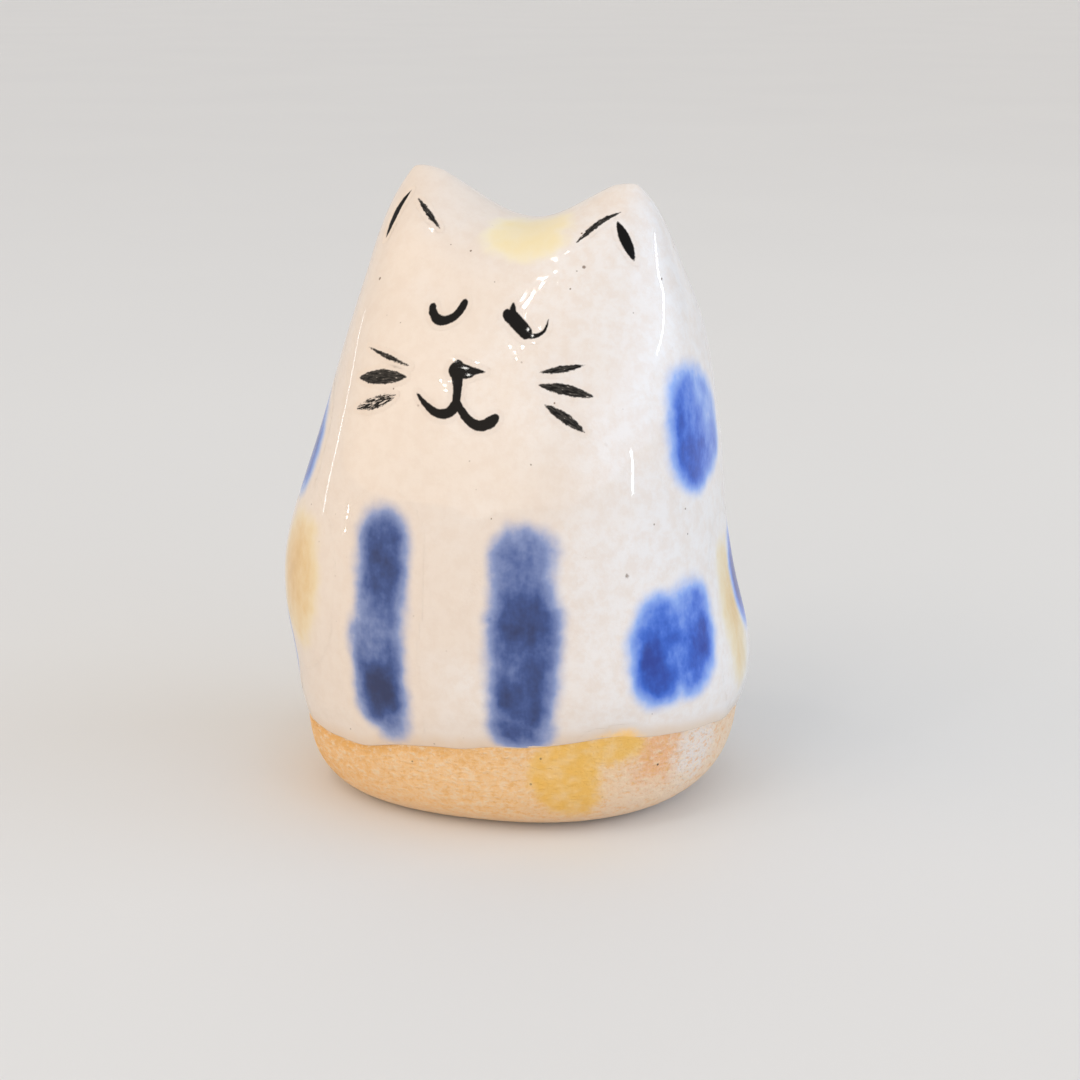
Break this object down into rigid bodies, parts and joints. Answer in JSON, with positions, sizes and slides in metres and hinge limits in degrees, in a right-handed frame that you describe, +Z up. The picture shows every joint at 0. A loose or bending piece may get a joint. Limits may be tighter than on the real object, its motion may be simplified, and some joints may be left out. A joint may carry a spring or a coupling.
{
  "type": "ceramic cat figurine",
  "caption": "Hollow hand-pinched ceramic cat sitting upright, white glaze over a bare clay foot, with brushed face, stripes and spots.",
  "frame": {"origin": "middle of the figure's box, on the table plane that the foot stands on", "axes": "+Z up from the foot to the ears; the cat faces -Y and its own left side is +X"},
  "size_m": [0.0382, 0.0318, 0.0501],
  "materials": {
    "clay": "bare fired clay, matt and sandy",
    "glaze": "glossy white glaze",
    "black_line": "black underglaze line, glossy",
    "blue_wash": "watery cobalt blue wash, glossy",
    "yellow_wash": "pale yellow ochre wash, glossy",
    "bare_yellow": "golden ochre stain on bare clay, matt"
  },
  "bodies": {
    "root": {"clay_body": "clay", "glaze_coat": "glaze", "right_eye": "black_line", "left_eye": "black_line", "nose": "black_line", "mouth": "black_line", "right_whisker_1": "black_line", "right_whisker_2": "black_line", "right_whisker_3": "black_line", "left_whisker_1": "black_line", "left_whisker_2": "black_line", "left_whisker_3": "black_line", "right_ear_line_1": "black_line", "right_ear_line_2": "black_line", "left_ear_line_1": "black_line", "left_ear_line_2": "black_line", "right_stripe": "blue_wash", "left_stripe": "blue_wash", "left_shoulder_spot": "blue_wash", "left_back_spot": "blue_wash", "left_haunch_spot": "blue_wash", "right_shoulder_spot": "blue_wash", "right_haunch_spot": "blue_wash", "crown_patch": "yellow_wash", "right_haunch_patch": "yellow_wash", "left_haunch_patch": "yellow_wash", "foot_patch": "bare_yellow"}
  },
  "joints": []
}
